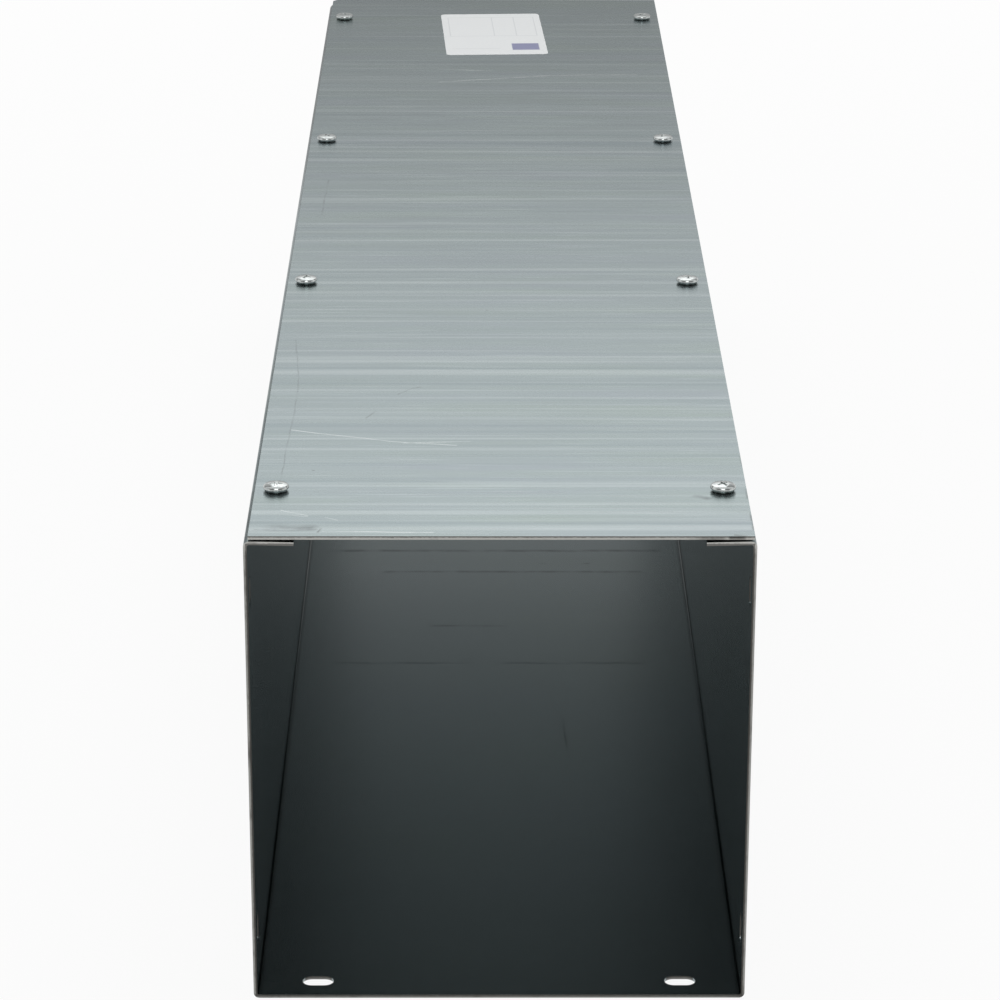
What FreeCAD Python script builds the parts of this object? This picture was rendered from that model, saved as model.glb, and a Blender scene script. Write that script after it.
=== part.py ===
import FreeCAD, Part
import math
import os

from FreeCAD import Vector

# Screw cover wireway: a straight trough folded from one galvanised steel sheet, open at both ends,
# with a flat sheet cover held to its two return flanges by pan head screws.
# Millimetres. +Y runs along the trough, +Z is up, and the origin is under the middle of the floor.

# Trough, sizes over the outside
trough_width = 203.2
trough_height = 203.2
trough_length = 914.4
trough_sheet = 1.5
bend_inside_radius = 0.8
flange_width = 20.0
flange_droop = 1.2  # degrees that each return flange is folded past square

# Cover
cover_sheet = 1.5
cover_left_inset = 1.9  # from the trough's outer face to the cover's edge
cover_right_inset = 0.9
cover_seat_gap = 0.8  # between the top of the flange bends and the cover

# Snipped corner at the far left, through the cover and the flange bend under it
snip_across = 4.8
snip_along = 6.0
snip_depth = 4.0  # below the trough's top

# Screws, in rows across the cover
screw_side_setback = 10.6  # from the trough's outer face
screw_end_setback = 50.8  # from the trough's end to the first row
middle_row_spacing = 254.0
shank_diameter = 4.8
shank_length = 12.7
head_diameter = 10.6
head_height = 3.3
head_side_height = 1.8
head_crown_diameter = 6.8
drive_cross_width = 1.2
drive_cross_span = 5.6
drive_cross_floor_span = 2.0
drive_cross_depth = 2.1
screw_turn_step = 33.0  # degrees from one screw's drive to the next one's
cover_hole_clearance = 0.4  # radial
flange_hole_clearance = 0.1  # radial

# Slots for joining sections, two in each wall at each end
slot_length = 13.0
slot_width = 8.0
slot_end_setback = 12.0  # from the trough's end to the slot's middle
slot_corner_setback = 26.2  # from the neighbouring outer face to the slot's middle

# Paper label on the cover, near its far end
label_width = 60.0
label_length = 101.6
label_thickness = 0.15
label_corner_radius = 3.0
label_end_setback = 38.8  # from the cover's end
label_turn = 2.5  # degrees, as stuck on by hand

# Every cutter passes the faces that it opens by this much
cut_margin = 1.0

# Values that follow from the sizes above
X = Vector(1, 0, 0)
Y = Vector(0, 1, 0)
Z = Vector(0, 0, 1)
bend_outside_radius = bend_inside_radius + trough_sheet
cover_underside = trough_height + cover_seat_gap
cover_top = cover_underside + cover_sheet
far_end = trough_length / 2
outer_side = trough_width / 2
screw_side = outer_side - screw_side_setback
end_row = far_end - screw_end_setback
middle_row = middle_row_spacing / 2
screw_rows = {"front": -end_row, "front_middle": -middle_row, "back_middle": middle_row, "back": end_row}


def line(start, end):
    return Part.LineSegment(start, end)


def arc(start, middle, end):
    return Part.Arc(start, middle, end)


def face_inside(curves):
    """Flat face bounded by lines and arcs that follow each other."""
    return Part.Face(Part.Wire([curve.toShape() for curve in curves]))


def in_section(angle):
    """Direction in the XZ section, at an angle in degrees from +X towards +Z."""
    return Vector(math.cos(math.radians(angle)), 0, math.sin(math.radians(angle)))


def folded_section(start, heading, runs, bends):
    """Section of a folded sheet, walked along its outside with the inside on the left.

    The runs are the flat lengths, and each bend is the angle turned between one run and the next.
    """
    outside = []
    inside = []
    point = start
    for index, run in enumerate(runs):
        inward = in_section(heading + 90)
        corner = point + in_section(heading) * run
        outside.append(line(point, corner))
        inside.append(line(point + inward * trough_sheet, corner + inward * trough_sheet))
        point = corner
        if index == len(bends):
            break
        centre = point + inward * bend_outside_radius
        halfway = in_section(heading + bends[index] / 2 - 90)
        finish = in_section(heading + bends[index] - 90)
        for skin, radius in ((outside, bend_outside_radius), (inside, bend_inside_radius)):
            skin.append(arc(centre - inward * radius, centre + halfway * radius, centre + finish * radius))
        point = centre + finish * bend_outside_radius
        heading += bends[index]
    first_tip = line(inside[0].StartPoint, outside[0].StartPoint)
    last_tip = line(outside[-1].EndPoint, inside[-1].EndPoint)
    return face_inside([first_tip, *outside, last_tip, *reversed(inside)])


def trough_section():
    """Flange, wall, floor, wall, flange: the flanges are folded a little past square."""
    droop = math.radians(flange_droop)
    past_bend = bend_outside_radius * (1 + math.sin(droop))
    flange_run = (flange_width - past_bend) / math.cos(droop)
    wall_run = trough_height - 2 * bend_outside_radius
    floor_run = trough_width - 2 * bend_outside_radius
    bend_top_drop = bend_outside_radius * (1 - math.cos(droop))
    tip_height = trough_height - bend_top_drop - flange_run * math.sin(droop)
    left_tip = Vector(-outer_side + flange_width, 0, tip_height)
    runs = [flange_run, wall_run, floor_run, wall_run, flange_run]
    bends = [90 + flange_droop, 90, 90, 90 + flange_droop]
    return folded_section(left_tip, 180 - flange_droop, runs, bends)


def slot_cutter(outer_point, along, inward):
    """Bar with the section of one joining slot, through the wall whose outer face holds the point."""
    start = outer_point - inward * cut_margin
    straight = along * ((slot_length - slot_width) / 2)
    side = along.cross(inward) * (slot_width / 2)
    round_end = along * (slot_length / 2)
    section = face_inside([
        line(start - straight + side, start + straight + side),
        arc(start + straight + side, start + round_end, start + straight - side),
        line(start + straight - side, start - straight - side),
        arc(start - straight - side, start - round_end, start - straight + side),
    ])
    return section.extrude(inward * (trough_sheet + 2 * cut_margin))


def joining_slots():
    """Two slots in the floor and in each side wall, at both ends."""
    cutters = []
    for end in (-1, 1):
        along_trough = end * (far_end - slot_end_setback)
        for side in (-1, 1):
            floor_point = Vector(side * (outer_side - slot_corner_setback), along_trough, 0)
            cutters.append(slot_cutter(floor_point, X, Z))
            for height in (slot_corner_setback, trough_height - slot_corner_setback):
                wall_point = Vector(side * outer_side, along_trough, height)
                cutters.append(slot_cutter(wall_point, Z, X * -side))
    return cutters


def screw_places():
    """Name and place of each screw, on the cover's top face."""
    places = {}
    for row, along_trough in screw_rows.items():
        for side_name, side in (("left", -1), ("right", 1)):
            places[f"screw_{row}_{side_name}"] = Vector(side * screw_side, along_trough, cover_top)
    return places


def screw_holes(radial_clearance):
    """One round cutter at each screw, long enough for the cover and the flange together."""
    radius = shank_diameter / 2 + radial_clearance
    depth = shank_length
    return [
        Part.makeCylinder(radius, depth + cut_margin, place - Z * depth, Z)
        for place in screw_places().values()
    ]


def corner_snip():
    """Wedge that takes off the far left corner, from just under the flange bend upwards."""
    base = trough_height - snip_depth
    corner = Vector(-outer_side, far_end, base)
    on_side = corner - Y * snip_along
    on_end = corner + X * snip_across
    overrun = (on_end - on_side).normalize() * snip_along
    outward = (Y * snip_across - X * snip_along).normalize() * snip_along
    near = on_side - overrun
    far = on_end + overrun
    outline = Part.makePolygon([near, far, far + outward, near + outward, near])
    return Part.Face(outline).extrude(Z * (cover_top - base + cut_margin))


def make_trough():
    trough = trough_section().extrude(Y * trough_length)
    trough.translate(Y * -far_end)
    return trough.cut([*joining_slots(), *screw_holes(flange_hole_clearance), corner_snip()])


def make_cover():
    width = trough_width - cover_left_inset - cover_right_inset
    near_left = Vector(-outer_side + cover_left_inset, -far_end, cover_underside)
    sheet = Part.makeBox(width, trough_length, cover_sheet, near_left)
    return sheet.cut([*screw_holes(cover_hole_clearance), corner_snip()])


def screw_profile():
    """Half section of a pan head screw, with the head's underside at height zero.

    The rounded shoulder, from the head's side to its flat crown, is two chords of a quarter ellipse.
    """
    head_radius = head_diameter / 2
    crown_radius = head_crown_diameter / 2
    shank_radius = shank_diameter / 2
    halfway = math.sin(math.radians(45))
    shoulder_radius = crown_radius + (head_radius - crown_radius) * halfway
    shoulder_height = head_side_height + (head_height - head_side_height) * halfway
    corners = [
        Vector(0, 0, head_height),
        Vector(crown_radius, 0, head_height),
        Vector(shoulder_radius, 0, shoulder_height),
        Vector(head_radius, 0, head_side_height),
        Vector(head_radius, 0, 0),
        Vector(shank_radius, 0, 0),
        Vector(shank_radius, 0, -shank_length),
        Vector(0, 0, -shank_length),
    ]
    return Part.Face(Part.makePolygon([*corners, corners[0]]))


def drive_recess():
    """Cross recess: two tapering wings, one across the other."""
    mouth = head_height + cut_margin
    taper = (drive_cross_span - drive_cross_floor_span) / 2 / drive_cross_depth
    mouth_reach = drive_cross_span / 2 + taper * cut_margin
    floor_reach = drive_cross_floor_span / 2
    floor = head_height - drive_cross_depth
    outline = Part.makePolygon([
        Vector(-mouth_reach, -drive_cross_width / 2, mouth),
        Vector(mouth_reach, -drive_cross_width / 2, mouth),
        Vector(floor_reach, -drive_cross_width / 2, floor),
        Vector(-floor_reach, -drive_cross_width / 2, floor),
        Vector(-mouth_reach, -drive_cross_width / 2, mouth),
    ])
    wing = Part.Face(outline).extrude(Y * drive_cross_width)
    crossing_wing = wing.copy()
    crossing_wing.rotate(Vector(), Z, 90)
    return [wing, crossing_wing]


def make_screw(place, turn):
    screw = screw_profile().revolve(Vector(), Z, 360).cut(drive_recess())
    screw.rotate(Vector(), Z, turn)
    screw.translate(place)
    return screw


def make_label():
    """Rounded paper rectangle, lying flat on the cover and turned a little."""
    middle = Vector(0, far_end - label_end_setback - label_length / 2, cover_top)
    near_left = middle - X * (label_width / 2) - Y * (label_length / 2)
    sheet = Part.makeBox(label_width, label_length, label_thickness, near_left)
    upright_edges = [edge for edge in sheet.Edges if edge.BoundBox.ZLength > label_thickness / 2]
    label = sheet.makeFillet(label_corner_radius, upright_edges)
    label.rotate(middle, Z, label_turn)
    return label


def write(name, shape):
    """One solid, in a file named for the piece."""
    solid = shape.Solids[0]
    solid.exportStep(os.path.join("parts", name + ".step"))
    print(name, len(shape.Solids), "solid", round(solid.Volume / 1000, 3), "cm3", solid.isValid())


os.makedirs("parts", exist_ok=True)
write("trough", make_trough())
write("cover", make_cover())
for number, (screw_name, screw_place) in enumerate(screw_places().items()):
    write(screw_name, make_screw(screw_place, screw_turn_step * number))
write("label", make_label())
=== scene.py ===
import math

import bmesh
import bpy
from mathutils import Matrix, Vector


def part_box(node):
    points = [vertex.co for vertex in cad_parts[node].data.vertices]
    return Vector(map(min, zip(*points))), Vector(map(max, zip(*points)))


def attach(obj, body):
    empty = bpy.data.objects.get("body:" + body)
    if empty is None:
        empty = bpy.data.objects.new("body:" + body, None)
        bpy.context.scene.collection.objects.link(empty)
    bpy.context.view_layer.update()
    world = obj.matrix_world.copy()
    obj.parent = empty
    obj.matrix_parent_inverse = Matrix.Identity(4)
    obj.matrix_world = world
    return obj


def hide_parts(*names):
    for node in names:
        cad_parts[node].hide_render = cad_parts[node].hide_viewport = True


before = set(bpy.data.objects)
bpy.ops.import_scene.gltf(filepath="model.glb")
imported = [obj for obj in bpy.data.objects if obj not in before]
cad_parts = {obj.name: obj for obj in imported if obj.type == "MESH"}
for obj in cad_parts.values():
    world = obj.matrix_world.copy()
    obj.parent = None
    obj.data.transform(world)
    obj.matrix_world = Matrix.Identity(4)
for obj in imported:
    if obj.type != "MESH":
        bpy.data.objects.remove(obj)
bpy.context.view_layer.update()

# Screw cover wireway: a galvanised trough, its flat cover, eight pan head screws and a paper label.
# Shapes are in metres in the frame of the solids. Patterns and marks are worked out in millimetres.
MM = 0.001
TO_MM = 1000.0

trough_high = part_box("trough")[1] * TO_MM
cover_low, cover_high = (corner * TO_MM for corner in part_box("cover"))
label_low, label_high = (corner * TO_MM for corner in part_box("label"))
SHEET = 1.5  # thickness of the steel, in millimetres

# Sockets of the Mix node: its factor, its two colours, its two numbers, and the colour that comes out
MIX_FACTOR = 0
MIX_A, MIX_B = 6, 7
NUMBER_A, NUMBER_B = 2, 3
MIX_RESULT = 2


def linear(colour):
    """An sRGB hex value as the linear colour that shaders take."""
    channels = [int(colour[place:place + 2], 16) / 255 for place in (1, 3, 5)]
    straight = [c / 12.92 if c <= 0.04045 else ((c + 0.055) / 1.055) ** 2.4 for c in channels]
    return (*straight, 1.0)


def add(tree, kind, sockets=None, **settings):
    """One node with its settings and links.

    A socket takes a value, another node's output, or a node, which gives its first live output.
    """
    made = tree.nodes.new("ShaderNode" + kind)
    for name, value in settings.items():
        setattr(made, name, value)
    for socket, value in (sockets or {}).items():
        if isinstance(value, bpy.types.Node):
            value = next(output for output in value.outputs if output.enabled)
        if isinstance(value, bpy.types.NodeSocket):
            tree.links.new(value, made.inputs[socket])
        else:
            made.inputs[socket].default_value = value
    return made


def new_material(name):
    """A material with its node tree and its shader."""
    material = bpy.data.materials.new(name)
    material.use_nodes = True
    return material, material.node_tree, material.node_tree.nodes["Principled BSDF"]


def place_in_mm(tree):
    """Where a point of the surface is, in millimetres in the frame of the solids."""
    place = add(tree, "TexCoord").outputs["Object"]
    return add(tree, "VectorMath", {0: place, "Scale": TO_MM}, operation="SCALE")


def stroke(tree, place, start, end, width):
    """1 along the middle of a straight stroke, falling to 0 at its edges."""
    run = Vector(end) - Vector(start)
    from_start = add(tree, "VectorMath", {0: place, 1: start}, operation="SUBTRACT")
    along = add(tree, "VectorMath", {0: from_start, 1: run / run.length_squared}, operation="DOT_PRODUCT")
    within = add(tree, "Clamp", {"Value": along})
    nearest = add(tree, "VectorMath", {0: run, "Scale": within}, operation="SCALE")
    away = add(tree, "VectorMath", {0: from_start, 1: nearest}, operation="DISTANCE")
    return add(tree, "MapRange", {"Value": away, "From Max": width / 2, "To Min": 1.0, "To Max": 0.0})


def strongest(tree, masks):
    """The highest of several masks at each point."""
    highest = masks[0]
    for mask in masks[1:]:
        highest = add(tree, "Math", {0: highest, 1: mask}, operation="MAXIMUM")
    return highest


def path_over(height, points, width):
    """A mark through points given in millimetres at one height, as strokes to draw."""
    raised = [(*point, height) for point in points]
    return [(start, end, width) for start, end in zip(raised, raised[1:])]


def mill_finish(tree, place, seed, line_spacing, line_strength):
    """Colour and streaks of zinc-coated sheet, lined by the mill's rolls across the wireway and up its walls.

    The rolls' own lines are tenths of a millimetre apart, too fine to show, so the streaks and dashes are
    drawn as coarse as they need to show.
    """
    line_length = 500.0
    streak_width = 2.4
    streak_length = 60.0
    dash_width = 1.6
    dash_length = 45.0
    tint_width = 3 * line_spacing
    tint_length = 130.0
    cloud_size = 80.0
    sway_size = 220.0
    sway = 1.5
    drift = add(tree, "TexNoise", {"Vector": place, "Scale": 1 / sway_size, "Detail": 1.0})
    drift = add(tree, "VectorMath", {0: (0, sway, 0), "Scale": drift}, operation="SCALE")
    swayed = add(tree, "VectorMath", {0: place, 1: drift}, operation="ADD")
    grain = {}
    for name, length, width, detail in (("pale_lines", line_length, line_spacing, 1.0),
                                        ("dark_lines", line_length, line_spacing, 1.0),
                                        ("streaks", streak_length, streak_width, 2.0),
                                        ("dashes", dash_length, dash_width, 1.0),
                                        ("tints", tint_length, tint_width, 2.0),
                                        ("clouds", cloud_size, cloud_size, 2.0)):
        seed += 3
        stretched = add(tree, "VectorMath", {0: swayed, 1: (length, width, length)}, operation="DIVIDE")
        grain[name] = add(tree, "TexNoise", {"Vector": stretched, "W": seed, "Scale": 1.0, "Detail": detail},
                          noise_dimensions="4D")
    share = add(tree, "MapRange", {"Value": grain["streaks"], "From Min": 0.3, "From Max": 0.7,
                                   "To Min": 0.5 - line_strength, "To Max": 0.5 + line_strength})
    colour = add(tree, "Mix", {MIX_FACTOR: share, MIX_A: linear("#859193"), MIX_B: linear("#8D9899")},
                 data_type="RGBA")
    cool = add(tree, "MapRange", {"Value": grain["tints"], "From Min": 0.52, "From Max": 0.68, "To Max": 0.6})
    colour = add(tree, "Mix", {MIX_FACTOR: cool, MIX_A: colour, MIX_B: linear("#899298")}, data_type="RGBA")
    warm = add(tree, "MapRange", {"Value": grain["tints"], "From Min": 0.48, "From Max": 0.32, "To Max": 0.6})
    colour = add(tree, "Mix", {MIX_FACTOR: warm, MIX_A: colour, MIX_B: linear("#889591")}, data_type="RGBA")
    cloudy = add(tree, "MapRange", {"Value": grain["clouds"], "From Min": 0.4, "From Max": 0.7,
                                    "To Max": 0.5})
    colour = add(tree, "Mix", {MIX_FACTOR: cloudy, MIX_A: colour, MIX_B: linear("#848F91")}, data_type="RGBA")
    pale = add(tree, "MapRange", {"Value": grain["pale_lines"], "From Min": 0.54, "From Max": 0.68,
                                  "To Max": line_strength})
    colour = add(tree, "Mix", {MIX_FACTOR: pale, MIX_A: colour, MIX_B: linear("#A5AEAF")}, data_type="RGBA")
    dark = add(tree, "MapRange", {"Value": grain["dark_lines"], "From Min": 0.44, "From Max": 0.3,
                                  "To Max": line_strength})
    colour = add(tree, "Mix", {MIX_FACTOR: dark, MIX_A: colour, MIX_B: linear("#788589")}, data_type="RGBA")
    dashed = add(tree, "MapRange", {"Value": grain["dashes"], "From Min": 0.6, "From Max": 0.74,
                                    "To Max": line_strength / 2})
    colour = add(tree, "Mix", {MIX_FACTOR: dashed, MIX_A: colour, MIX_B: linear("#AFB8B9")}, data_type="RGBA")
    return colour, share


def marked(tree, place, colour, marks, strength, shade):
    """The colour with strokes of another shade over it, a little crooked and stronger in some stretches."""
    crook = 1.6
    crook_size = 22.0
    stretch_size = 9.0
    faintest = 0.25
    noise_middle = (0.5, 0.5, 0.5)
    bends = add(tree, "TexNoise", {"Vector": place, "Scale": 1 / crook_size, "Detail": 2.0})
    aside = add(tree, "VectorMath", {0: bends.outputs["Color"], 1: noise_middle}, operation="SUBTRACT")
    aside = add(tree, "VectorMath", {0: aside, 1: (crook, crook, 0)}, operation="MULTIPLY")
    crooked = add(tree, "VectorMath", {0: place, 1: aside}, operation="ADD")
    drawn = strongest(tree, [stroke(tree, crooked, *mark) for mark in marks])
    stretches = add(tree, "TexNoise", {"Vector": place, "Scale": 1 / stretch_size, "Detail": 2.0})
    stretches = add(tree, "MapRange", {"Value": stretches, "From Min": 0.35, "From Max": 0.6,
                                       "To Min": strength * faintest, "To Max": strength})
    drawn = add(tree, "Math", {0: drawn, 1: stretches}, operation="MULTIPLY")
    return add(tree, "Mix", {MIX_FACTOR: drawn, MIX_A: colour, MIX_B: linear(shade)}, data_type="RGBA")


def sheared_colour(tree, place, from_die, smooth_share, seed):
    """A sheared or punched face: smooth and pale on the die's side, then darker torn steel, with stains.

    The torn steel's grit is under a tenth of a millimetre, too fine to show, so it is drawn coarser.
    """
    grit_size = 0.9
    grit_depth = 0.35
    fade = 0.15
    stain_size = 9.0
    grit = add(tree, "TexNoise", {"Vector": place, "W": seed, "Scale": 1 / grit_size, "Detail": 2.0},
               noise_dimensions="4D")
    uneven = add(tree, "MapRange", {"Value": grit, "To Min": -grit_depth, "To Max": grit_depth})
    depth = add(tree, "Math", {0: from_die, 1: uneven}, operation="ADD")
    smooth_depth = SHEET * smooth_share
    torn = add(tree, "MapRange", {"Value": depth, "From Min": smooth_depth - fade,
                                  "From Max": smooth_depth + fade})
    colour = add(tree, "Mix", {MIX_FACTOR: torn, MIX_A: linear("#B8B8B4"), MIX_B: linear("#72716E")},
                 data_type="RGBA")
    stains = add(tree, "TexNoise", {"Vector": place, "W": seed + 2, "Scale": 1 / stain_size, "Detail": 3.0},
                 noise_dimensions="4D")
    stained = add(tree, "MapRange", {"Value": stains, "From Min": 0.55, "From Max": 0.75, "To Max": 0.7})
    return add(tree, "Mix", {MIX_FACTOR: stained, MIX_A: colour, MIX_B: linear("#5A5855")}, data_type="RGBA")


def finish_sheet(tree, shader, colour, sheared, cut, streaks, line_depth, roughness, line_blur):
    """Joins the mill's surface, blurred over its lines, and the sheared faces in the shader."""
    streak_gloss = 0.03
    cut_roughness = 0.5
    relief_strength = 0.12
    nearly_along = {"X": 0.02, "Y": 1.0, "Z": 0.03}  # a little askew, so that no face is square to it
    colour = add(tree, "Mix", {MIX_FACTOR: cut, MIX_A: colour, MIX_B: sheared}, data_type="RGBA")
    gloss = add(tree, "MapRange", {"Value": streaks, "To Min": roughness - streak_gloss,
                                   "To Max": roughness + streak_gloss})
    gloss = add(tree, "Mix", {MIX_FACTOR: cut, NUMBER_A: gloss, NUMBER_B: cut_roughness}, data_type="FLOAT")
    relief = add(tree, "Bump", {"Height": streaks, "Strength": relief_strength, "Distance": line_depth * MM})
    tree.links.new(colour.outputs[MIX_RESULT], shader.inputs["Base Color"])
    tree.links.new(gloss.outputs[0], shader.inputs["Roughness"])
    tree.links.new(relief.outputs["Normal"], shader.inputs["Normal"])
    over_lines = add(tree, "CombineXYZ", nearly_along)
    tree.links.new(over_lines.outputs[0], shader.inputs["Tangent"])
    shader.inputs["Anisotropic"].default_value = line_blur
    shader.inputs["Metallic"].default_value = 1.0


# Marks on the trough's floor, in millimetres
FLOOR_MARKS = [
    *path_over(SHEET, [(-89, 39), (89, 39)], 5.0),
    *path_over(SHEET, [(-59, 9), (77, 9)], 4.0),
    *path_over(SHEET, [(-34, -65), (5, -65)], 3.0),
    *path_over(SHEET, [(-81, -113), (73, -113)], 3.0),
    *path_over(SHEET, [(32.4, -182), (33.5, -218)], 2.0),
    *path_over(SHEET, [(24, 20.6), (26, 20.6)], 2.4),
    *path_over(SHEET, [(48, 20.6), (50, 20.6)], 2.4),
]
# Rubs and painted shade along the upper bends near the front, in millimetres
BEND_MARK_HEIGHT = trough_high.z - 1.1
BEND_MARK_WIDTH = 3.2
BEND_RUBS_AND_SHADE = [
    *path_over(BEND_MARK_HEIGHT, [(-101.2, -457), (-101.2, -400)], BEND_MARK_WIDTH),
    *path_over(BEND_MARK_HEIGHT, [(101.2, -447), (101.2, -431)], BEND_MARK_WIDTH),
    *path_over(BEND_MARK_HEIGHT, [(101.2, -416), (101.2, -407)], BEND_MARK_WIDTH),
    *path_over(BEND_MARK_HEIGHT, [(101.2, -399), (101.2, -388)], BEND_MARK_WIDTH),
]


def galvanised_trough():
    """Galvanised steel sheet, hot-dipped and rolled at the mill, then sheared, punched and folded.

    The eye sees a cool half-matt grey with soft streaks across the trough and up its walls, fainter inside,
    dark rubs and painted shade along the folds, and painted shade in the inner corners. The ends have
    a pale smooth band outside and torn steel inside, with painted shade down the walls and by the floor.
    """
    inner_side = SHEET * 0.9  # deeper than this, a face is on the inside
    inner_fading = 0.5
    inner_smoothing = 0.85
    even_streaks = 0.5
    fold_mark_length = 30.0
    fold_mark_width = 1.2
    corner_shade_start = SHEET + 0.8
    corner_shade_end = SHEET + 2.4
    corner_shade_strength = 0.53
    end_shade_outside = 0.36
    end_shade_inside = 0.72
    floor_end_shade = 0.68
    material, tree, shader = new_material("galvanised_trough_sheet")
    place = place_in_mm(tree)
    at = add(tree, "SeparateXYZ", {0: place})
    from_side = add(tree, "Math", {0: at.outputs["X"]}, operation="ABSOLUTE")
    from_side = add(tree, "Math", {0: trough_high.x, 1: from_side}, operation="SUBTRACT")
    from_top = add(tree, "Math", {0: trough_high.z, 1: at.outputs["Z"]}, operation="SUBTRACT")
    from_outside = add(tree, "Math", {0: from_side, 1: from_top}, operation="MINIMUM")
    from_outside = add(tree, "Math", {0: from_outside, 1: at.outputs["Z"]}, operation="MINIMUM")
    inside = add(tree, "Math", {0: from_outside, 1: inner_side}, operation="GREATER_THAN")

    colour, streaks = mill_finish(tree, place, seed=1.0, line_spacing=22.0, line_strength=0.12)
    fainter = add(tree, "Math", {0: inside, 1: inner_fading}, operation="MULTIPLY")
    colour = add(tree, "Mix", {MIX_FACTOR: fainter, MIX_A: colour, MIX_B: linear("#889496")},
                 data_type="RGBA")
    smoother = add(tree, "Math", {0: inside, 1: inner_smoothing}, operation="MULTIPLY")
    streaks = add(tree, "Mix", {MIX_FACTOR: smoother, NUMBER_A: streaks, NUMBER_B: even_streaks},
                  data_type="FLOAT")
    colour = add(tree, "HueSaturation", {"Color": colour, "Saturation": 0.85})
    colour = marked(tree, place, colour, FLOOR_MARKS, strength=0.6, shade="#3E4446")
    # Rubs and painted shade along the upper bends near the front
    colour = marked(tree, place, colour, BEND_RUBS_AND_SHADE, strength=0.5, shade="#3E4243")

    geometry = add(tree, "NewGeometry")
    # Rubs and painted shade in patches along the folds that face upward, outside at the flanges and inside at
    # the floor
    slope = add(tree, "SeparateXYZ", {0: geometry.outputs["Normal"]})
    sideways = add(tree, "Math", {0: slope.outputs["X"]}, operation="ABSOLUTE")
    bent = add(tree, "Math", {0: sideways, 1: slope.outputs["Z"]}, operation="MULTIPLY")
    bent = add(tree, "MapRange", {"Value": bent, "From Min": 0.2, "From Max": 0.45})
    long = add(tree, "VectorMath", {0: place, 1: (fold_mark_width, fold_mark_length, fold_mark_width)}, operation="DIVIDE")
    patches = add(tree, "TexNoise", {"Vector": long, "Scale": 1.0, "Detail": 4.0, "Roughness": 0.65})
    fold_rubs_and_shade = add(tree, "MapRange", {"Value": patches, "From Min": 0.38, "From Max": 0.62, "To Max": 0.3})
    fold_rubs_and_shade = add(tree, "Math", {0: fold_rubs_and_shade, 1: bent}, operation="MULTIPLY")
    colour = add(tree, "Mix", {MIX_FACTOR: fold_rubs_and_shade, MIX_A: colour, MIX_B: linear("#3E4243")}, data_type="RGBA")

    # Painted shade in the inner corners of the floor, darkest right at the corner
    from_corner = add(tree, "Math", {0: from_side, 1: at.outputs["Z"]}, operation="MAXIMUM")
    corner_shade = add(tree, "MapRange", {"Value": from_corner, "From Min": corner_shade_start, "From Max": corner_shade_end,
                                   "To Min": corner_shade_strength, "To Max": 0.0})
    corner_shade = add(tree, "Math", {0: corner_shade, 1: inside}, operation="MULTIPLY")
    colour = add(tree, "Mix", {MIX_FACTOR: corner_shade, MIX_A: colour, MIX_B: linear("#2E3232")}, data_type="RGBA")

    sheared = sheared_colour(tree, place, from_outside, smooth_share=0.55, seed=4.0)
    # Painted shade on the cut ends: more towards the inside of the sheet, from a little below the flange
    # down, and most by the floor
    end_shade = add(tree, "MapRange", {"Value": from_outside, "From Min": 0.5, "From Max": 1.2,
                                  "To Min": end_shade_outside, "To Max": end_shade_inside})
    below_flange = add(tree, "MapRange", {"Value": from_top, "From Min": 2.0, "From Max": 6.0})
    end_shade = add(tree, "Math", {0: end_shade, 1: below_flange}, operation="MULTIPLY")
    by_floor = add(tree, "MapRange", {"Value": at.outputs["Z"], "From Min": 3.5, "From Max": 1.5,
                                      "To Max": floor_end_shade})
    end_shade = add(tree, "Math", {0: end_shade, 1: by_floor}, operation="MAXIMUM")
    sheared = add(tree, "Mix", {MIX_FACTOR: end_shade, MIX_A: sheared, MIX_B: linear("#33322F")}, data_type="RGBA")
    facing = add(tree, "SeparateXYZ", {0: geometry.outputs["True Normal"]})
    facing_end = add(tree, "Math", {0: facing.outputs["Y"]}, operation="ABSOLUTE")
    cut = add(tree, "MapRange", {"Value": facing_end, "From Min": 0.6, "From Max": 0.7})
    finish_sheet(tree, shader, colour, sheared, cut, streaks,
                 line_depth=0.003, roughness=0.27, line_blur=0.35)
    return material


# Marks on the cover's top, in millimetres
BRIGHT_SCRATCHES = [
    *path_over(cover_high.z, [(-31, 253), (27, 267), (56, 270), (82, 270)], 2.2),
    *path_over(cover_high.z, [(-32, 283), (-2, 279)], 1.8),
    *path_over(cover_high.z, [(-88, -334), (-46, -348), (-18, -353)], 1.3),
    *path_over(cover_high.z, [(-40, -350), (-12, -348)], 1.0),
    *path_over(cover_high.z, [(-70, -452), (-27, -453)], 1.2),
    *path_over(cover_high.z, [(-88, -429), (-77, -435)], 0.9),
    *path_over(cover_high.z, [(-86, -434), (-77, -436)], 0.7),
    *path_over(cover_high.z, [(-70, -437), (-65, -440)], 0.7),
]
DARK_SCRATCHES = [
    *path_over(cover_high.z, [(-92, -213), (-88, -269), (-88, -311), (-90, -394)], 1.0),
    *path_over(cover_high.z, [(-87, 50), (-88, 13), (-88, -14)], 1.2),
    *path_over(cover_high.z, [(-97, -450), (-86, -451), (-73, -450)], 2.2),
]
RUBS = [
    *path_over(cover_high.z, [(-90, -448), (-76, -448)], 10.0),
    *path_over(cover_high.z, [(80, -413), (84, -415)], 5.0),
]
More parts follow.
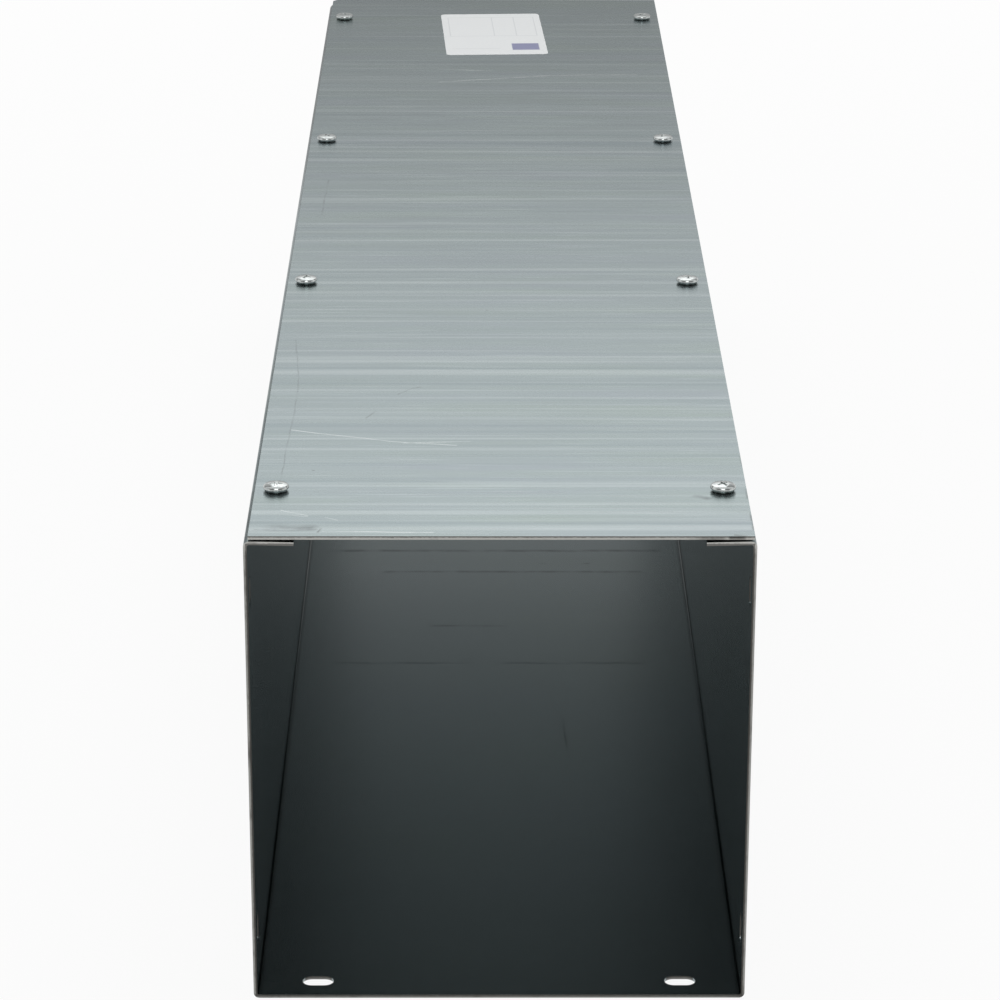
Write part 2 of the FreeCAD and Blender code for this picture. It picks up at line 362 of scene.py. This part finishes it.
NICKS = [
    *path_over(cover_high.z, [(-57, -319), (-53, -310)], 1.1),
    *path_over(cover_high.z, [(-44, -288), (-38, -280), (-34, -278)], 1.0),
    *path_over(cover_high.z, [(-72, -453), (-71, -449)], 1.5),
    *path_over(cover_high.z, [(-77.2, -383), (-76.8, -383)], 1.4),
    *path_over(cover_high.z, [(-62.2, 29), (-61.8, 29)], 1.4),
    *path_over(cover_high.z, [(-5.2, -169), (-4.8, -169)], 1.4),
    *path_over(cover_high.z, [(93, -456), (97, -457)], 2.4),
    *path_over(cover_high.z, [(100.6, -450), (100.6, -431)], 2.0),
    *path_over(cover_high.z, [(100.6, -416), (100.6, -405)], 1.8),
    *path_over(cover_high.z, [(100.6, -378), (100.6, -366)], 1.4),
]
EDGE_STAINS = [
    *path_over(cover_high.z - 0.4, [(91, cover_low.y), (96, cover_low.y)], 3.0),
]


def galvanised_cover():
    """Galvanised steel sheet, hot-dipped and rolled at the mill, then sheared to size.

    The eye sees the trough's cool streaked grey, a few rubbed and scored lines from handling, and edges that
    are dark where the steel tore and paler below, where the shear cut it.
    """
    material, tree, shader = new_material("galvanised_cover_sheet")
    place = place_in_mm(tree)
    colour, streaks = mill_finish(tree, place, seed=20.0, line_spacing=5.0, line_strength=0.5)
    colour = marked(tree, place, colour, BRIGHT_SCRATCHES, strength=0.7, shade="#C9CECE")
    colour = marked(tree, place, colour, RUBS, strength=0.9, shade="#5E6567")
    colour = marked(tree, place, colour, DARK_SCRATCHES, strength=0.48, shade="#5E6567")
    colour = marked(tree, place, colour, NICKS, strength=0.75, shade="#505453")
    at = add(tree, "SeparateXYZ", {0: place})
    from_underside = add(tree, "Math", {0: at.outputs["Z"], 1: cover_low.z}, operation="SUBTRACT")
    sheared = sheared_colour(tree, place, from_underside, smooth_share=0.6, seed=31.0)
    sheared = marked(tree, place, sheared, EDGE_STAINS, strength=1.0, shade="#2A2826")
    facing = add(tree, "SeparateXYZ", {0: add(tree, "NewGeometry").outputs["True Normal"]})
    facing_up = add(tree, "Math", {0: facing.outputs["Z"]}, operation="ABSOLUTE")
    cut = add(tree, "MapRange", {"Value": facing_up, "From Min": 0.8, "From Max": 0.6})
    finish_sheet(tree, shader, colour, sheared, cut, streaks,
                 line_depth=0.008, roughness=0.26, line_blur=0.75)
    return material


def zinc_plate():
    """Zinc-plated steel, barrel-plated and clear passivated.

    The eye sees bright metal on the crown, small soft patches of duller plating, and dark lower sides,
    painted shade with some grime where the head meets the cover.
    """
    patch_size = 1.2
    grime_and_shade_top = 0.8
    grime_and_shade_fade = 0.3
    grime_and_shade_waver = 0.5
    material, tree, shader = new_material("zinc_plated_steel")
    place = place_in_mm(tree)
    patches = add(tree, "TexNoise", {"Vector": place, "Scale": 1 / patch_size, "Detail": 3.0})
    share = add(tree, "MapRange", {"Value": patches, "From Min": 0.35, "From Max": 0.7})
    colour = add(tree, "Mix", {MIX_FACTOR: share, MIX_A: linear("#C2C6C4"), MIX_B: linear("#A4A9AA")},
                 data_type="RGBA")
    # Painted shade, with some grime, over the head's lower sides where it meets the cover
    height = add(tree, "SeparateXYZ", {0: place})
    height = add(tree, "Math", {0: height.outputs["Z"], 1: cover_high.z}, operation="SUBTRACT")
    uneven = add(tree, "MapRange", {"Value": patches, "To Min": -grime_and_shade_waver, "To Max": grime_and_shade_waver})
    height = add(tree, "Math", {0: height, 1: uneven}, operation="ADD")
    grime_and_shade = add(tree, "MapRange", {"Value": height, "From Min": grime_and_shade_top + grime_and_shade_fade,
                                   "From Max": grime_and_shade_top - grime_and_shade_fade, "To Max": 0.9})
    colour = add(tree, "Mix", {MIX_FACTOR: grime_and_shade, MIX_A: colour, MIX_B: linear("#4F524F")}, data_type="RGBA")
    gloss = add(tree, "MapRange", {"Value": patches, "From Min": 0.3, "From Max": 0.7,
                                   "To Min": 0.08, "To Max": 0.18})
    tree.links.new(colour.outputs[MIX_RESULT], shader.inputs["Base Color"])
    tree.links.new(gloss.outputs[0], shader.inputs["Roughness"])
    shader.inputs["Metallic"].default_value = 1.0
    return material


def label_paper():
    """Coated label paper with a blank form printed on it.

    The eye sees smooth off-white, very faint grey rules and boxes, one plain tinted block, and a soft sheen.
    The paper's fibres are hundredths of a millimetre wide, too fine to show, so they are drawn coarser.
    """
    fibre_size = 1.5
    label_turn = math.radians(2.5)
    material, tree, shader = new_material("coated_label_paper")
    place = place_in_mm(tree)
    fibres = add(tree, "TexNoise", {"Vector": place, "Scale": 1 / fibre_size, "Detail": 4.0})
    colour = add(tree, "Mix", {MIX_FACTOR: fibres, MIX_A: linear("#E7EAEB"), MIX_B: linear("#F1F3F3")},
                 data_type="RGBA")
    middle = (label_low + label_high) / 2
    middle.z = label_high.z
    from_middle = add(tree, "VectorMath", {0: place, 1: middle}, operation="SUBTRACT")
    on_label = add(tree, "VectorRotate", {"Vector": from_middle, "Angle": -label_turn},
                   rotation_type="Z_AXIS")
    box_side, box_near, box_far = 26.0, -5.0, 42.0
    across_rule, along_rule = 1.0, 0.9
    foot_rule, foot_rule_end = -36.0, 2.0
    rule_strength = 0.4
    rules = [((-box_side, y, 0), (box_side, y, 0), across_rule) for y in (box_near, box_far)]
    rules += [((x, box_near, 0), (x, box_far, 0), along_rule) for x in (-box_side, 0.5, 13.8, box_side)]
    rules += [((-box_side, foot_rule, 0), (foot_rule_end, foot_rule, 0), across_rule)]
    ruled = strongest(tree, [stroke(tree, on_label, *rule) for rule in rules])
    ruled = add(tree, "Math", {0: ruled, 1: rule_strength}, operation="MULTIPLY")
    colour = add(tree, "Mix", {MIX_FACTOR: ruled, MIX_A: colour, MIX_B: linear("#A9AEB2")}, data_type="RGBA")
    block_middle, block_half = (17.6, -32.0, 0), (8.2, 8.0, 1.0)
    on_block = add(tree, "VectorMath", {0: on_label, 1: block_middle}, operation="SUBTRACT")
    on_block = add(tree, "VectorMath", {0: on_block}, operation="ABSOLUTE")
    on_block = add(tree, "VectorMath", {0: on_block, 1: block_half}, operation="DIVIDE")
    on_block = add(tree, "SeparateXYZ", {0: on_block})
    block = add(tree, "Math", {0: on_block.outputs["X"], 1: on_block.outputs["Y"]}, operation="MAXIMUM")
    block = add(tree, "MapRange", {"Value": block, "From Min": 1.0, "From Max": 0.95, "To Max": 0.85})
    colour = add(tree, "Mix", {MIX_FACTOR: block, MIX_A: colour, MIX_B: linear("#66699A")}, data_type="RGBA")
    tree.links.new(colour.outputs[MIX_RESULT], shader.inputs["Base Color"])
    shader.inputs["Roughness"].default_value = 0.45
    return material


# Pan head screws, in millimetres
SCREW_TURN_STEP = 33.0  # degrees from one screw's drive to the next one's
HEAD_RIM_HEIGHT = 1.5
HEAD_BASE_RADIUS = 4.5
HEAD_CROWN_RADIUS = 4.6
HEAD_CROWN_RISE = 0.65
SHOULDER_SWEEP = 60.0  # degrees of the ellipse from the head's rim to its crown
HEAD_EDGE_ROUND = 0.25
HEAD_EDGE_MIDDLE = 0.3  # share of the rounding where its middle ring lies
NECK_LENGTH = 1.0
THREAD_CREST_RADIUS = 2.4
THREAD_ROOT_RADIUS = 1.95
THREAD_PITCH = 0.8
THREAD_FLANK = 3.2  # how steeply the skin climbs from root to crest
THREAD_ROOT_FLAT = 0.3
TIP_TAPER = 1.2
TIP_SHARE = 0.75  # of the full radius, at the very tip
TURN_STEPS = 64
ROWS_A_PITCH = 8
CROWN_STEPS = 8
SHOULDER_STEPS = 8
DRIVE_CROSS_WIDTH = 1.2
DRIVE_CROSS_SPAN = 5.6
DRIVE_CROSS_FLOOR_SPAN = 2.0
DRIVE_CROSS_DEPTH = 2.1
DRIVE_FLOOR_SHARE = 0.85  # of the cross's width, at its floor
DRIVE_EDGE = 0.1
DRIVE_EDGE_ANGLE = 55.0  # degrees, from which an edge is eased
SMOOTH_ANGLE = 32.0  # degrees, up to which two faces shade as one


def thread_radius(height, turn):
    """Radius of the thread's skin at a height below the head, at a share of a turn."""
    phase = (height / THREAD_PITCH + turn) % 1.0
    climb = min(1.0, max(0.0, THREAD_FLANK * (0.5 - abs(phase - 0.5)) - THREAD_ROOT_FLAT))
    return THREAD_ROOT_RADIUS + (THREAD_CREST_RADIUS - THREAD_ROOT_RADIUS) * climb


def screw_rows(head_radius, head_height, shank_length):
    """Rings from near the crown's middle to the tip, each a height and its radii round the turn."""
    rows = []

    def ring(height, radius):
        rows.append((height, [radius] * TURN_STEPS))

    for step in range(1, CROWN_STEPS):
        share = step / CROWN_STEPS
        ring(head_height - HEAD_CROWN_RISE * share ** 2, HEAD_CROWN_RADIUS * share)
    sweep = math.radians(SHOULDER_SWEEP)
    shoulder_depth = (head_radius - HEAD_CROWN_RADIUS) / (1 - math.cos(sweep))
    shoulder_rise = (head_height - HEAD_CROWN_RISE - HEAD_RIM_HEIGHT) / math.sin(sweep)
    for step in range(SHOULDER_STEPS + 1):
        angle = sweep * (1 - step / SHOULDER_STEPS)
        ring(HEAD_RIM_HEIGHT + shoulder_rise * math.sin(angle),
             head_radius - shoulder_depth * (1 - math.cos(angle)))
    ring(HEAD_EDGE_ROUND, HEAD_BASE_RADIUS)
    ring(HEAD_EDGE_ROUND * HEAD_EDGE_MIDDLE, HEAD_BASE_RADIUS - HEAD_EDGE_ROUND * HEAD_EDGE_MIDDLE)
    ring(0.0, HEAD_BASE_RADIUS - HEAD_EDGE_ROUND)
    ring(0.0, THREAD_CREST_RADIUS)
    ring(-NECK_LENGTH, THREAD_ROOT_RADIUS)
    threaded = shank_length - NECK_LENGTH
    count = round(threaded / THREAD_PITCH * ROWS_A_PITCH)
    for step in range(1, count + 1):
        height = -NECK_LENGTH - threaded * step / count
        to_tip = (shank_length + height) / TIP_TAPER
        taper = TIP_SHARE + (1 - TIP_SHARE) * min(1.0, to_tip)
        radii = [taper * thread_radius(height, turn / TURN_STEPS) for turn in range(TURN_STEPS)]
        rows.append((height, radii))
    return rows


def screw_blank(head_radius, head_height, shank_length):
    """Mesh of the screw before its drive is pressed in."""
    shape = bmesh.new()
    crown = shape.verts.new((0, 0, head_height))
    rings = []
    for height, radii in screw_rows(head_radius, head_height, shank_length):
        around = []
        for turn, radius in enumerate(radii):
            angle = 2 * math.pi * turn / TURN_STEPS
            around.append(shape.verts.new((radius * math.cos(angle), radius * math.sin(angle), height)))
        rings.append(around)
    tip = shape.verts.new((0, 0, -shank_length))
    for turn in range(TURN_STEPS):
        after = (turn + 1) % TURN_STEPS
        shape.faces.new((crown, rings[0][turn], rings[0][after]))
        shape.faces.new((tip, rings[-1][after], rings[-1][turn]))
        for upper, lower in zip(rings, rings[1:]):
            shape.faces.new((upper[turn], lower[turn], lower[after], upper[after]))
    return finished_mesh(shape, "screw_blank")


def finished_mesh(shape, name):
    """A mesh in metres from a shape drawn in millimetres."""
    bmesh.ops.recalc_face_normals(shape, faces=shape.faces)
    bmesh.ops.scale(shape, vec=(MM, MM, MM), verts=shape.verts)
    mesh = bpy.data.meshes.new(name)
    shape.to_mesh(mesh)
    shape.free()
    return mesh


def tapered_bar(name, floor, mouth, floor_height, mouth_height):
    """A bar with a rectangular floor and mouth, each given by half its length and half its width."""
    shape = bmesh.new()
    corners = []
    for (reach, half), height in ((floor, floor_height), (mouth, mouth_height)):
        around = ((-reach, -half), (reach, -half), (reach, half), (-reach, half))
        corners.append([shape.verts.new((x, y, height)) for x, y in around])
    low, high = corners
    shape.faces.new(low)
    shape.faces.new(high)
    for side in range(4):
        after = (side + 1) % 4
        shape.faces.new((low[side], low[after], high[after], high[side]))
    return finished_mesh(shape, name)


def link(name, mesh):
    """A new object in the scene."""
    made = bpy.data.objects.new(name, mesh)
    bpy.context.scene.collection.objects.link(made)
    return made


def screw_mesh(head_radius, head_height, shank_length):
    """A whole screw: its blank, with a tapering cross pressed into the head."""
    above = 1.0
    touching = 0.002
    blank = link("screw_blank", screw_blank(head_radius, head_height, shank_length))
    taper = (DRIVE_CROSS_SPAN - DRIVE_CROSS_FLOOR_SPAN) / 2 / DRIVE_CROSS_DEPTH
    wing_floor = (DRIVE_CROSS_FLOOR_SPAN / 2, DRIVE_CROSS_WIDTH / 2 * DRIVE_FLOOR_SHARE)
    wing_mouth = (DRIVE_CROSS_SPAN / 2 + taper * above, DRIVE_CROSS_WIDTH / 2)
    cross_floor = head_height - DRIVE_CROSS_DEPTH
    mouth = head_height + above
    cutters = [link(name, tapered_bar(name, wing_floor, wing_mouth, cross_floor, mouth))
               for name in ("drive_wing", "drive_cross_wing")]
    cutters[1].rotation_euler.z = math.pi / 2
    for cutter in cutters:
        cut = blank.modifiers.new(cutter.name, "BOOLEAN")
        cut.operation = "DIFFERENCE"
        cut.solver = "EXACT"
        cut.object = cutter
    edge = blank.modifiers.new("drive_edge", "BEVEL")
    edge.width = DRIVE_EDGE * MM
    edge.segments = 2
    edge.limit_method = "ANGLE"
    edge.angle_limit = math.radians(DRIVE_EDGE_ANGLE)
    bpy.context.view_layer.update()
    pressed = blank.evaluated_get(bpy.context.evaluated_depsgraph_get())
    mesh = bpy.data.meshes.new_from_object(pressed)
    mesh.name = "pan_head_screw"
    joined = bmesh.new()
    joined.from_mesh(mesh)
    bmesh.ops.remove_doubles(joined, verts=joined.verts, dist=touching * MM)
    bmesh.ops.dissolve_degenerate(joined, edges=joined.edges, dist=touching * MM)
    joined.to_mesh(mesh)
    joined.free()
    for helper in (blank, *cutters):
        bpy.data.objects.remove(helper)
    mesh.polygons.foreach_set("use_smooth", [True] * len(mesh.polygons))
    mesh.set_sharp_from_angle(angle=math.radians(SMOOTH_ANGLE))
    return mesh


def fit_screws(finish):
    """One detailed screw in the place of each solid one."""
    rows = ("front", "front_middle", "back_middle", "back")
    order = [f"{row}_{side}" for row in rows for side in ("left", "right")]
    low, high = (corner * TO_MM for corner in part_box("screw_" + order[0]))
    whole = screw_mesh((high.x - low.x) / 2, high.z - cover_high.z, cover_high.z - low.z)
    whole.materials.clear()
    whole.materials.append(finish)
    for number, where in enumerate(order):
        low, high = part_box("screw_" + where)
        middle = (low + high) / 2
        mesh = whole.copy()
        mesh.transform(Matrix.Translation((middle.x, middle.y, cover_high.z * MM))
                       @ Matrix.Rotation(math.radians(SCREW_TURN_STEP * number), 4, "Z"))
        screw = link("pan_head_screw_" + where, mesh)
        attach(screw, "root")
        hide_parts("screw_" + where)


def ease_edges(node, width):
    """The shear's rollover: takes the knife edge off one of the sheets."""
    touching = 0.005
    flat_angle = 1.0
    sharp_angle = 45.0
    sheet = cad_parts[node]
    joined = sheet.modifiers.new("joined_facets", "WELD")
    joined.merge_threshold = touching * MM
    level = sheet.modifiers.new("whole_faces", "DECIMATE")
    level.decimate_type = "DISSOLVE"
    level.angle_limit = math.radians(flat_angle)
    eased = sheet.modifiers.new("sheared_edges", "BEVEL")
    eased.width = width * MM
    eased.segments = 2
    eased.limit_method = "ANGLE"
    eased.angle_limit = math.radians(sharp_angle)
    eased.harden_normals = True


def dress(node, finish):
    """A finish on one of the solids."""
    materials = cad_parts[node].data.materials
    materials.clear()
    materials.append(finish)


dress("trough", galvanised_trough())
dress("cover", galvanised_cover())
dress("label", label_paper())
ease_edges("trough", width=0.15)
ease_edges("cover", width=0.3)
fit_screws(zinc_plate())


# The stage, in metres
def flat_card(name, corners):
    """A four-cornered sheet of the stage."""
    mesh = bpy.data.meshes.new(name)
    mesh.from_pydata(corners, [], [(0, 1, 2, 3)])
    card = link(name, mesh)
    return card


def seen_directly(tree):
    """1 for rays from the camera, from gloss and through glass, which show the backdrop, and 0 for others."""
    path = add(tree, "LightPath")
    direct = add(tree, "Math", {0: path.outputs["Is Camera Ray"], 1: path.outputs["Is Glossy Ray"]},
                 operation="MAXIMUM")
    return add(tree, "Math", {0: direct, 1: path.outputs["Is Transmission Ray"]}, operation="MAXIMUM")


def studio_floor():
    """Matt white paper, shown as white with a light shadow under the object."""
    reach = 5.0
    below = -0.3 * MM
    floor = flat_card("studio_floor", [(-reach, -reach, below), (reach, -reach, below),
                                       (reach, reach, below), (-reach, reach, below)])
    material, tree, shader = new_material("matt_white_paper")
    tree.nodes.remove(shader)
    away = add(tree, "VectorMath", {0: add(tree, "TexCoord").outputs["Object"]}, operation="LENGTH")
    share = add(tree, "MapRange", {"Value": away, "From Min": 0.6, "From Max": 2.0,
                                   "To Min": 0.92, "To Max": 1.0})
    share = add(tree, "Math", {0: share, 1: seen_directly(tree)}, operation="MULTIPLY")
    paper = add(tree, "BsdfDiffuse", {"Color": linear("#F4F4F3")})
    white = add(tree, "Emission", {"Strength": 1.0})
    mixed = add(tree, "MixShader", {0: share, 1: paper, 2: white})
    tree.links.new(mixed.outputs[0], tree.nodes["Material Output"].inputs["Surface"])
    floor.data.materials.append(material)


def shading_card(name, corners, low_level, high_level):
    """A card that only gloss sees, graded from foot to top, which the bright metal mirrors."""
    card = flat_card(name, corners)
    material, tree, shader = new_material(name)
    tree.nodes.remove(shader)
    heights = [corner[2] for corner in corners]
    at = add(tree, "SeparateXYZ", {0: add(tree, "TexCoord").outputs["Object"]})
    level = add(tree, "MapRange", {"Value": at.outputs["Z"],
                                   "From Min": min(heights), "From Max": max(heights),
                                   "To Min": low_level, "To Max": high_level})
    glow = add(tree, "Emission", {"Strength": level})
    tree.links.new(glow.outputs[0], tree.nodes["Material Output"].inputs["Surface"])
    card.data.materials.append(material)
    card.visible_camera = False
    card.visible_diffuse = False
    card.visible_shadow = False
    card.visible_transmission = False


def studio_world():
    """White where it is seen, and a softer level where it only lights."""
    world = bpy.data.worlds.new("studio")
    world.use_nodes = True
    bpy.context.scene.world = world
    tree = world.node_tree
    lighting_level = 0.4
    lighting = tree.nodes["Background"]
    lighting.inputs["Color"].default_value = linear("#FFFFFF")
    lighting.inputs["Strength"].default_value = lighting_level
    white = add(tree, "Background", {"Color": linear("#FFFFFF"), "Strength": 1.0})
    mixed = add(tree, "MixShader", {0: seen_directly(tree), 1: lighting, 2: white})
    tree.links.new(mixed.outputs[0], tree.nodes["World Output"].inputs["Surface"])


def softbox(name, place, aim, size, power):
    """A soft lamp that gloss doesn't see."""
    lamp = bpy.data.lights.new(name, "AREA")
    lamp.shape = "RECTANGLE"
    lamp.size, lamp.size_y = size
    lamp.energy = power
    made = link(name, lamp)
    made.location = place
    made.visible_glossy = False
    made.rotation_euler = (Vector(aim) - Vector(place)).to_track_quat("-Z", "Y").to_euler()


def photo_camera():
    """The photograph's view: above the near end, looking along the wireway and down."""
    eye = Vector((-0.007885, -1.816435, 0.741298))
    pitch, turn, roll = 0.3657, -0.0057, -0.0023
    image_width = 1000
    focal_pixels = 3703.7
    sensor_width = 36.0
    data = bpy.data.cameras.new("photo_camera")
    data.sensor_width = sensor_width
    data.lens = focal_pixels / image_width * sensor_width
    camera = link("photo_camera", data)
    looking = Matrix.Rotation(turn, 4, "Z") @ Matrix.Rotation(math.pi / 2 - pitch, 4, "X")
    camera.matrix_world = Matrix.Translation(eye) @ looking @ Matrix.Rotation(-roll, 4, "Z")
    bpy.context.scene.camera = camera


studio_floor()
studio_world()

# Places of the shading cards: behind and in front of the object, and above it as a depth and a height
BEHIND = 0.6
BACK_REACH = 0.3
UPPER_BACK_REACH = 0.28
BACK_TOP = 1.2
IN_FRONT = -2.2
FRONT_GAP = 0.6
FRONT_TOP = 2.0
SIDE_REACH = 3.0
OVERHEAD_GAP = 0.4
STRIP_NEAR = (-1.75, 1.95)
STRIP_FAR = (-0.95, 2.0)
OVERHEAD_FAR = (-0.45, 2.1)

for name, reach, foot, top, low_level, high_level in (
        ("lower_back_card", BACK_REACH, 0.0, 0.36, 0.3, 0.635),
        ("back_card", BACK_REACH, 0.36, 0.62, 0.635, 1.53),
        ("upper_back_card", UPPER_BACK_REACH, 0.62, BACK_TOP, 1.53, 2.6)):
    shading_card(name, [(-reach, BEHIND, foot), (reach, BEHIND, foot),
                        (reach, BEHIND, top), (-reach, BEHIND, top)], low_level, high_level)
shading_card("overhead_strip", [(-OVERHEAD_GAP, *STRIP_NEAR), (OVERHEAD_GAP, *STRIP_NEAR),
                                (OVERHEAD_GAP, *STRIP_FAR), (-OVERHEAD_GAP, *STRIP_FAR)],
             low_level=4.0, high_level=4.0)
for side, sign in (("left", -1), ("right", 1)):
    outer = sign * SIDE_REACH
    inner = sign * BACK_REACH
    shading_card(f"back_{side}_card", [(outer, BEHIND, 0), (inner, BEHIND, 0),
                                       (inner, BEHIND, BACK_TOP), (outer, BEHIND, BACK_TOP)],
                 low_level=1.15, high_level=0.25)
    inner = sign * FRONT_GAP
    shading_card(f"front_{side}_card", [(outer, IN_FRONT, 0), (inner, IN_FRONT, 0),
                                        (inner, IN_FRONT, FRONT_TOP), (outer, IN_FRONT, FRONT_TOP)],
                 low_level=0.85, high_level=0.45)
    shading_card(f"overhead_{side}_card", [(outer, IN_FRONT, FRONT_TOP), (inner, IN_FRONT, FRONT_TOP),
                                           (sign * OVERHEAD_GAP, *OVERHEAD_FAR), (outer, *OVERHEAD_FAR)],
                 low_level=0.3, high_level=0.3)
softbox("overhead_softbox", place=(0, 0.3, 1.9), aim=(0, 0, 0.2), size=(1.6, 1.2), power=16.0)
photo_camera()
bpy.context.scene.view_settings.view_transform = "Standard"
